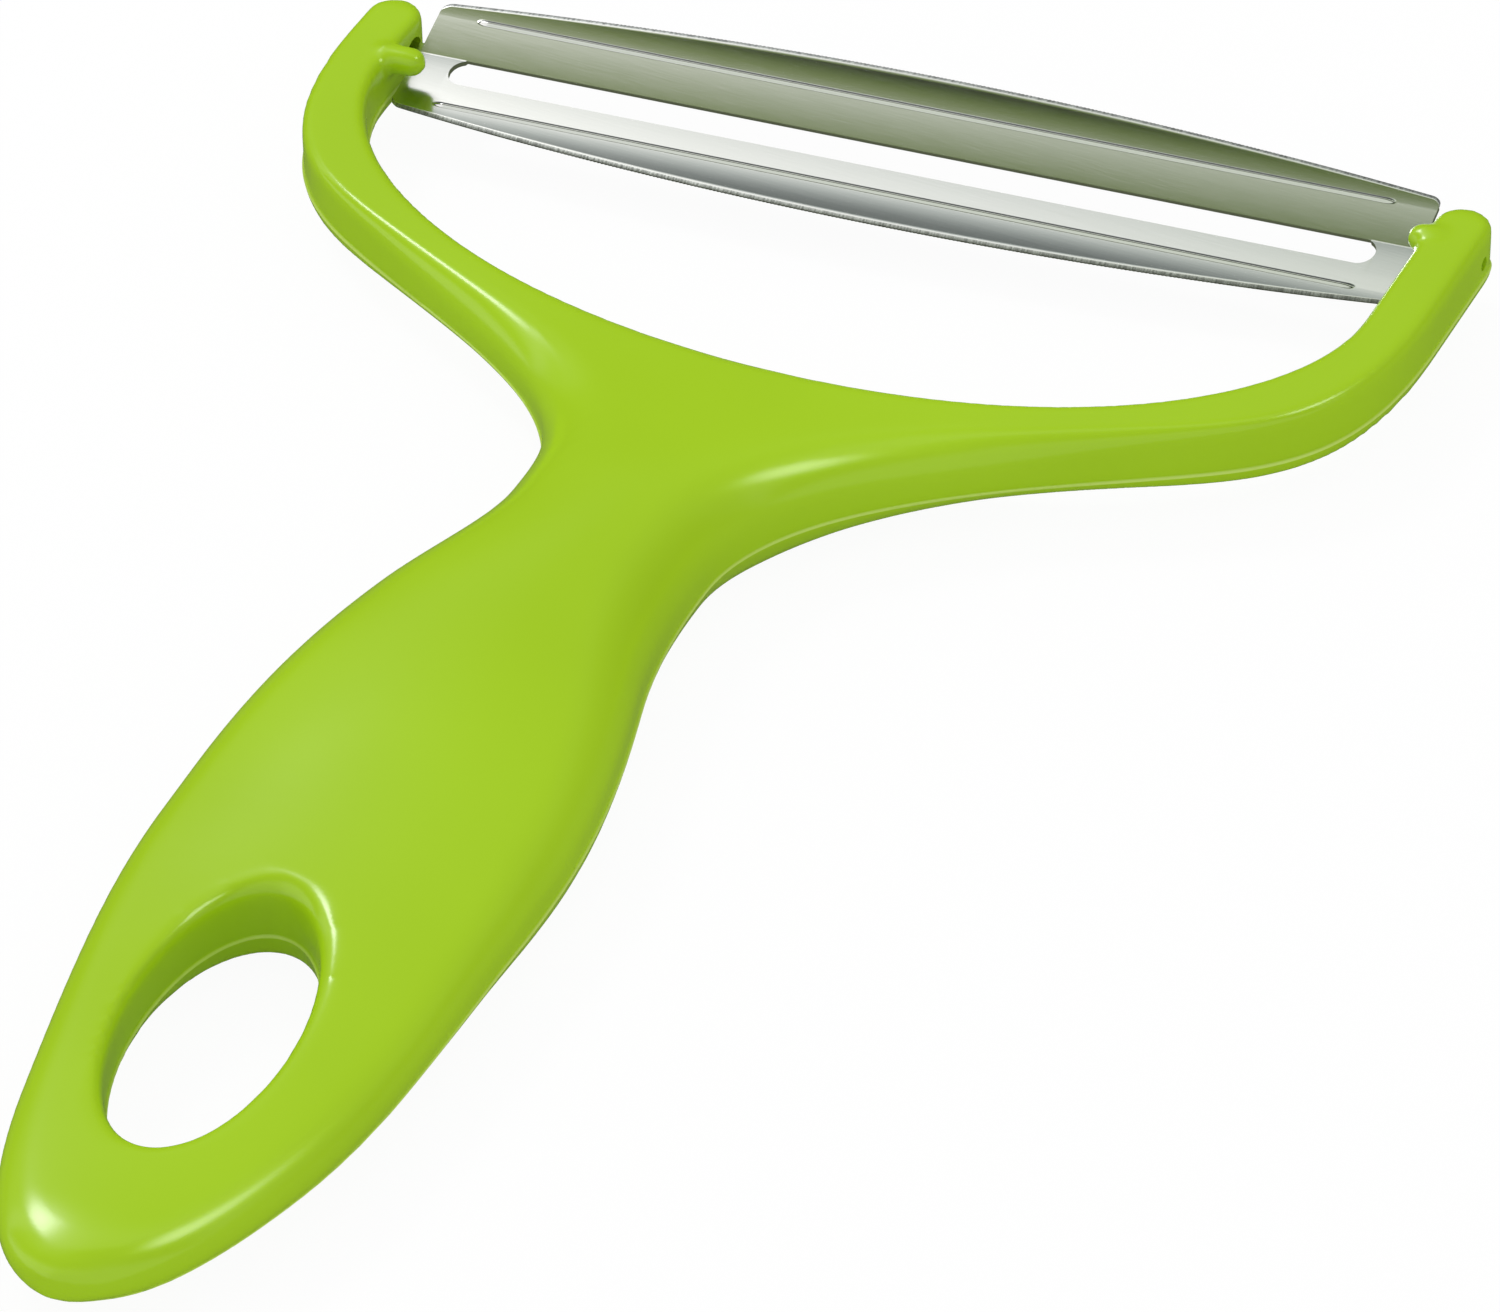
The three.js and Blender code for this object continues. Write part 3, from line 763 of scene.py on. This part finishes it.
class PEELER_OT_blade(bpy.types.Operator):
    """Presses the swivel blade: fold, slot, beads, tongues and ground, toothed outer edges"""

    bl_idname = "peeler.blade"
    bl_label = "Pressed blade"

    def execute(self, context):
        settings = context.scene.peeler_blade
        columns = self.columns(settings)
        rows = [self.row(s, settings) for s in columns]
        count = len(rows[0])
        near_side, far_side, tongue_side = self.marks
        bm = bmesh.new()
        bmesh.ops.create_grid(bm, x_segments=count - 1, y_segments=len(rows) - 1, size=1.0)
        weights = bm.verts.layers.deform.verify()
        bm.verts.ensure_lookup_table()
        grid = [bm.verts[i * count:(i + 1) * count] for i in range(len(rows))]
        index = {}
        for i, line in enumerate(grid):
            for j, vert in enumerate(line):
                index[vert] = (i, j)
        doomed = []
        for face in bm.faces:
            cells = [index[v] for v in face.verts]
            i = min(c[0] for c in cells)
            j = min(c[1] for c in cells)
            s = (columns[i] + columns[i + 1]) / 2
            face.material_index = 1 if j in (0, count - 2) else 0
            slot = j == near_side
            closed = j == far_side and abs(s) < SLOT_RUN
            beyond = abs(s) > BLADE_HALF_LENGTH and not far_side <= j < tongue_side
            if slot or closed or beyond:
                doomed.append(face)
        for i, line in enumerate(grid):
            for j, vert in enumerate(line):
                sheet = EDGE_SHEET if j in (0, count - 1) else SHEET
                vert.co = self.point(columns[i], rows[i][j], sheet, settings)
                vert[weights][0] = sheet / SHEET
        bmesh.ops.delete(bm, geom=doomed, context="FACES")
        bmesh.ops.remove_doubles(bm, verts=bm.verts[:], dist=SLACK)
        bmesh.ops.dissolve_degenerate(bm, edges=bm.edges[:], dist=WELD)
        bmesh.ops.recalc_face_normals(bm, faces=bm.faces[:])
        if sum(f.normal.z * f.calc_area() for f in bm.faces) < 0:
            bmesh.ops.reverse_faces(bm, faces=bm.faces[:])
        blade = to_object(bm, "pressed_blade")
        blade.vertex_groups.new(name="sheet")
        sheet = blade.modifiers.new("sheet", "SOLIDIFY")
        sheet.thickness = SHEET * MM
        sheet.offset = -1.0
        sheet.vertex_group = "sheet"
        apply_modifiers(blade)
        blade.vertex_groups.clear()
        for polygon in blade.data.polygons:
            polygon.use_smooth = True
        blade.data.set_sharp_from_angle(angle=BLADE_SHARP)
        blade.data.materials.append(rolled_steel(tuple(settings.steel)))
        blade.data.materials.append(ground_steel(linear("B4B6B6")))
        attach(blade, "blade")
        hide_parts("blade")
        return {"FINISHED"}

    def columns(self, settings):
        """Places along the blade: one on each tooth tip and root, and more where the slot and the ends turn."""
        half_pitch = settings.tooth / MM / 2
        count = int(BLADE_HALF_LENGTH / half_pitch)
        places = [half_pitch * k for k in range(-count, count + 1)]
        turns = [math.radians(a) for a in range(0, 91, SLOT_END_TURN)]
        for side in (-1, 1):
            places += [side * (SLOT_RUN + SLOT_WIDTH / 2 * math.sin(turn)) for turn in turns]
            places += [side * (BEAD_HALF_LENGTH - BEAD_END * k / BEAD_END_STEPS) for k in range(BEAD_END_STEPS + 1)]
            places += [side * (BLADE_HALF_LENGTH - d) for d in END_COLUMNS]
            places += [side * (BLADE_HALF_LENGTH + TONGUE_ROOT), side * TONGUE_TIP]
        places.sort()
        kept = [places[0]]
        for place in places[1:]:
            if place - kept[-1] > COLUMN_GAP:
                kept.append(place)
        return kept

    def row(self, s, settings):
        """Distances from the crease across the blade at a place along it, from the near edge to the far one."""
        share = abs(s) / BLADE_HALF_LENGTH
        bow = min(share, 1.0) ** 2
        toothed = ease(min(max((TOOTHED_SHARE - share) / TOOTH_FADE, 0.0), 1.0))
        tooth = abs((s / (settings.tooth / MM)) % 1 - 0.5) * 2 * toothed * settings.tooth_depth / MM
        past = min(max(abs(s) - BLADE_HALF_LENGTH + BLADE_CORNER, 0.0), BLADE_CORNER)
        round_off = (BLADE_CORNER - math.sqrt(BLADE_CORNER ** 2 - past ** 2)) * CORNER_SHARE
        near = mix(*NEAR_REACH, bow) - round_off
        far = mix(*FAR_REACH, bow) - round_off
        strip = settings.ground_width / MM

        def half(reach, inner, offset):
            """Distances of one half, from its inner side outwards."""
            bead = [offset + BEAD_HALF_WIDTH * k / BEAD_STEPS for k in range(-BEAD_STEPS, BEAD_STEPS + 1)]
            stop = max(reach - strip, bead[-1] + ROW_GAP)
            band = [mix(inner, bead[0], k / BAND_STEPS) for k in range(1, BAND_STEPS)]
            lens = [mix(bead[-1], stop, k / LENS_STEPS) for k in range(1, LENS_STEPS + 1)]
            lips = (bead[0] - BEAD_LIP, mix(bead[-1], lens[0], LENS_LIP))
            edge = max(reach - tooth, stop + ROW_GAP)
            return band + [lips[0]] + bead + [lips[1]] + lens + [edge]

        if abs(s) <= SLOT_RUN:
            opening = (-SLOT_WIDTH, 0.0)
        elif abs(s) < SLOT_RUN + SLOT_WIDTH / 2:
            reach = math.sqrt(max((SLOT_WIDTH / 2) ** 2 - (abs(s) - SLOT_RUN) ** 2, 0.0))
            opening = (-SLOT_WIDTH / 2 - reach, -SLOT_WIDTH / 2 + reach)
        elif abs(s) <= BLADE_HALF_LENGTH:
            opening = (-SLOT_WIDTH / 2, -SLOT_WIDTH / 2)
        else:
            opening = (-TONGUE_HALF_WIDTH, -TONGUE_HALF_WIDTH)
        if opening[1] > -CREASE_LIP:
            opening = (opening[0], 0.0)
        near_half = [-d for d in half(near, SLOT_WIDTH, NEAR_BEAD_OFFSET)][::-1]
        far_half = half(far, TONGUE_HALF_WIDTH, FAR_BEAD_OFFSET)
        fold = [max(opening[1], -CREASE_LIP), 0.0, CREASE_LIP, TONGUE_HALF_WIDTH]
        near_side = len(near_half)
        far_side = near_side + 1
        self.marks = (near_side, far_side, far_side + len(fold))
        return near_half + list(opening) + fold + far_half

    def point(self, s, d, sheet, settings):
        """Point of the folded sheet's upper face at a place along it and a distance from the crease."""
        slope = FAR_SLOPE if d > 0 else NEAR_SLOPE if d < 0 else (FAR_SLOPE + NEAR_SLOPE) / 2
        inner = min(max(d, -NEAR_BEAD_OFFSET), FAR_BEAD_OFFSET)
        outer = d - inner
        lens = slope + outer * LENS_CURVE / 2
        angle = slope + outer * LENS_CURVE
        beyond = max(abs(s) - BEAD_HALF_LENGTH + BEAD_END, 0.0) / BEAD_END
        aside = (d + NEAR_BEAD_OFFSET if d < 0 else d - FAR_BEAD_OFFSET) / BEAD_HALF_WIDTH
        near = math.hypot(beyond, aside)
        bump = settings.bead_height / MM * math.cos(near * math.pi / 2) if near < 1 else 0.0
        reach = FAR_BEAD_OFFSET if d >= 0 else NEAR_BEAD_OFFSET
        crown = BAND_CURVE / 2 * abs(inner) * (reach - abs(inner))
        lift = bump + crown + sheet / 2
        v = inner * math.cos(slope) + outer * math.cos(lens) - math.sin(angle) * lift
        z = inner * math.sin(slope) + outer * math.sin(lens) + math.cos(angle) * lift
        return placed(on_axis(Vector((s + v * math.tan(SLANT), v, z))))


class PEELER_OT_stage(bpy.types.Operator):
    """Sets the white floor, the soft studio light and the camera"""

    bl_idname = "peeler.stage"
    bl_label = "Studio"

    def execute(self, context):
        settings = context.scene.peeler_stage
        scene = context.scene
        self.make_floor(settings)
        self.make_world(scene, settings)
        self.make_light(scene, settings)
        self.make_camera(scene)
        scene.view_settings.view_transform = "Standard"
        return {"FINISHED"}

    def make_floor(self, settings):
        """Lays a paper floor that the camera sees as white, and that glosses show as a dim green-grey."""
        bm = bmesh.new()
        bmesh.ops.create_grid(bm, x_segments=8, y_segments=8, size=FLOOR_SIZE)
        bmesh.ops.translate(bm, verts=bm.verts[:], vec=(0.0, 0.0, -FLOOR_DROP))
        floor = to_object(bm, "studio_floor")
        material, tree = new_material("white_paper_floor")
        path = add_node(tree, "ShaderNodeLightPath")
        share = add_node(
            tree, "ShaderNodeMath", {"operation": "MULTIPLY"}, {1: FLOOR_GLOW}, [(0, path, "Is Camera Ray")],
        )
        paper = add_node(tree, "ShaderNodeBsdfDiffuse", inputs={"Color": tuple(settings.floor)})
        dim = add_node(tree, "ShaderNodeEmission", inputs={"Color": linear("5F664F"), "Strength": 1.0})
        glow = add_node(tree, "ShaderNodeEmission", inputs={"Color": WHITE, "Strength": 1.0})
        below = add_node(
            tree, "ShaderNodeMixShader",
            links=[("Fac", path, "Is Glossy Ray"), (1, paper, "BSDF"), (2, dim, "Emission")],
        )
        mixed = add_node(
            tree, "ShaderNodeMixShader", links=[("Fac", share, "Value"), (1, below, "Shader"), (2, glow, "Emission")],
        )
        add_node(tree, "ShaderNodeOutputMaterial", links=[("Surface", mixed, "Shader")])
        floor.data.materials.append(material)

    def make_world(self, scene, settings):
        """Lights the part evenly, shows the camera plain white, and shows glosses a room with dark and bright parts."""
        world = bpy.data.worlds.new("studio")
        world.use_nodes = True
        tree = world.node_tree
        tree.nodes.clear()
        place = add_node(tree, "ShaderNodeTexCoord")
        parts = add_node(tree, "ShaderNodeSeparateXYZ", links=[("Vector", place, "Generated")])
        # Angle of a direction in the upright plane along the handle: 0 at the horizon ahead, 0.5 overhead.
        angle = add_node(tree, "ShaderNodeMath", {"operation": "ARCTAN2"}, links=[(0, parts, "Z"), (1, parts, "Y")])
        share = add_node(tree, "ShaderNodeMath", {"operation": "DIVIDE"}, {1: math.pi}, [(0, angle, "Value")])
        room = add_node(tree, "ShaderNodeValToRGB", links=[("Fac", share, "Value")])
        set_ramp(room, ROOM)
        side = add_node(
            tree, "ShaderNodeMapRange", inputs={"From Min": FALL_FROM, "From Max": FALL_TO},
            links=[("Value", parts, "X")],
        )
        fall = add_node(tree, "ShaderNodeValToRGB", links=[("Fac", side, "Result")])
        set_ramp(fall, FALL)
        walls = add_node(
            tree, "ShaderNodeVectorMath", {"operation": "MULTIPLY"}, links=[(0, room, "Color"), (1, fall, "Color")],
        )
        # A round soft box at the upper right draws the thin lights along the right-hand edges.
        toward = add_node(
            tree, "ShaderNodeVectorMath", {"operation": "DOT_PRODUCT"}, {1: RIGHT_BOX},
            [(0, place, "Generated")],
        )
        disc = add_node(
            tree, "ShaderNodeMapRange",
            inputs={
                "From Min": math.cos(RIGHT_BOX_RADIUS),
                "From Max": math.cos(RIGHT_BOX_RADIUS * RIGHT_BOX_CORE),
                "To Max": RIGHT_BOX_POWER,
            },
            links=[("Value", toward, "Value")],
        )
        # Only direct glosses show the box: the steel doesn't throw it on to the plastic.
        path = add_node(tree, "ShaderNodeLightPath")
        direct = add_node(
            tree, "ShaderNodeMath", {"operation": "LESS_THAN"}, {1: RIGHT_BOX_DEPTH}, [(0, path, "Ray Depth")],
        )
        box = add_node(
            tree, "ShaderNodeMath", {"operation": "MULTIPLY"}, links=[(0, disc, "Result"), (1, direct, "Value")],
        )
        lit = add_node(
            tree, "ShaderNodeVectorMath", {"operation": "ADD"}, links=[(0, walls, "Vector"), (1, box, "Value")],
        )
        white = add_node(tree, "ShaderNodeBackground", inputs={"Color": WHITE, "Strength": 1.0})
        mirrored = add_node(tree, "ShaderNodeBackground", inputs={"Strength": 1.0}, links=[("Color", lit, "Vector")])
        sky = add_node(tree, "ShaderNodeBackground", inputs={"Color": WHITE, "Strength": settings.sky})
        unlit = add_node(
            tree, "ShaderNodeMixShader",
            links=[("Fac", path, "Is Glossy Ray"), (1, sky, "Background"), (2, mirrored, "Background")],
        )
        shown = add_node(
            tree, "ShaderNodeMixShader",
            links=[("Fac", path, "Is Camera Ray"), (1, unlit, "Shader"), (2, white, "Background")],
        )
        add_node(tree, "ShaderNodeOutputWorld", links=[("Surface", shown, "Shader")])
        world.cycles.sampling_method = "NONE"
        scene.world = world

    def make_light(self, scene, settings):
        """Hangs the square soft light at the left, turned to the part."""
        light = bpy.data.lights.new("soft_key", "AREA")
        light.shape = "RECTANGLE"
        light.size = light.size_y = KEY_SIZE
        light.energy = settings.key_power
        key = bpy.data.objects.new("soft_key", light)
        scene.collection.objects.link(key)
        key.location = KEY_PLACE
        key.rotation_euler = (-KEY_PLACE).to_track_quat("-Z", "Y").to_euler()

    def make_camera(self, scene):
        """Sets the camera where the photograph was taken from."""
        data = bpy.data.cameras.new("photo_camera")
        data.sensor_fit = "HORIZONTAL"
        data.sensor_width = CAMERA_SENSOR
        data.lens = CAMERA_LENS
        camera = bpy.data.objects.new("photo_camera", data)
        scene.collection.objects.link(camera)
        turn = Matrix((CAMERA_RIGHT, CAMERA_UP, CAMERA_BACK)).transposed()
        camera.matrix_world = Matrix.LocRotScale(placed(CAMERA_PLACE), turn.to_quaternion(), None)
        scene.camera = camera


class PEELER_PT_panel(bpy.types.Panel):
    """Lists the pieces of the peeler with their settings"""

    bl_idname = "PEELER_PT_panel"
    bl_label = "Peeler"
    bl_space_type = "VIEW_3D"
    bl_region_type = "UI"
    bl_category = "Peeler"

    def draw(self, context):
        for group, operator in (
            (context.scene.peeler_moulding, PEELER_OT_moulding),
            (context.scene.peeler_blade, PEELER_OT_blade),
            (context.scene.peeler_stage, PEELER_OT_stage),
        ):
            box = self.layout.box()
            for name in group.__annotations__:
                box.prop(group, name)
            box.operator(operator.bl_idname)


CLASSES = (
    MouldingSettings, BladeSettings, StageSettings,
    PEELER_OT_moulding, PEELER_OT_blade, PEELER_OT_stage, PEELER_PT_panel,
)


def register():
    for cls in CLASSES:
        bpy.utils.register_class(cls)
    bpy.types.Scene.peeler_moulding = PointerProperty(type=MouldingSettings)
    bpy.types.Scene.peeler_blade = PointerProperty(type=BladeSettings)
    bpy.types.Scene.peeler_stage = PointerProperty(type=StageSettings)


def unregister():
    del bpy.types.Scene.peeler_stage
    del bpy.types.Scene.peeler_blade
    del bpy.types.Scene.peeler_moulding
    for cls in reversed(CLASSES):
        bpy.utils.unregister_class(cls)


def main():
    register()
    bpy.ops.peeler.stage()
    bpy.ops.peeler.moulding()
    bpy.ops.peeler.blade()


if __name__ == "__main__":
    main()
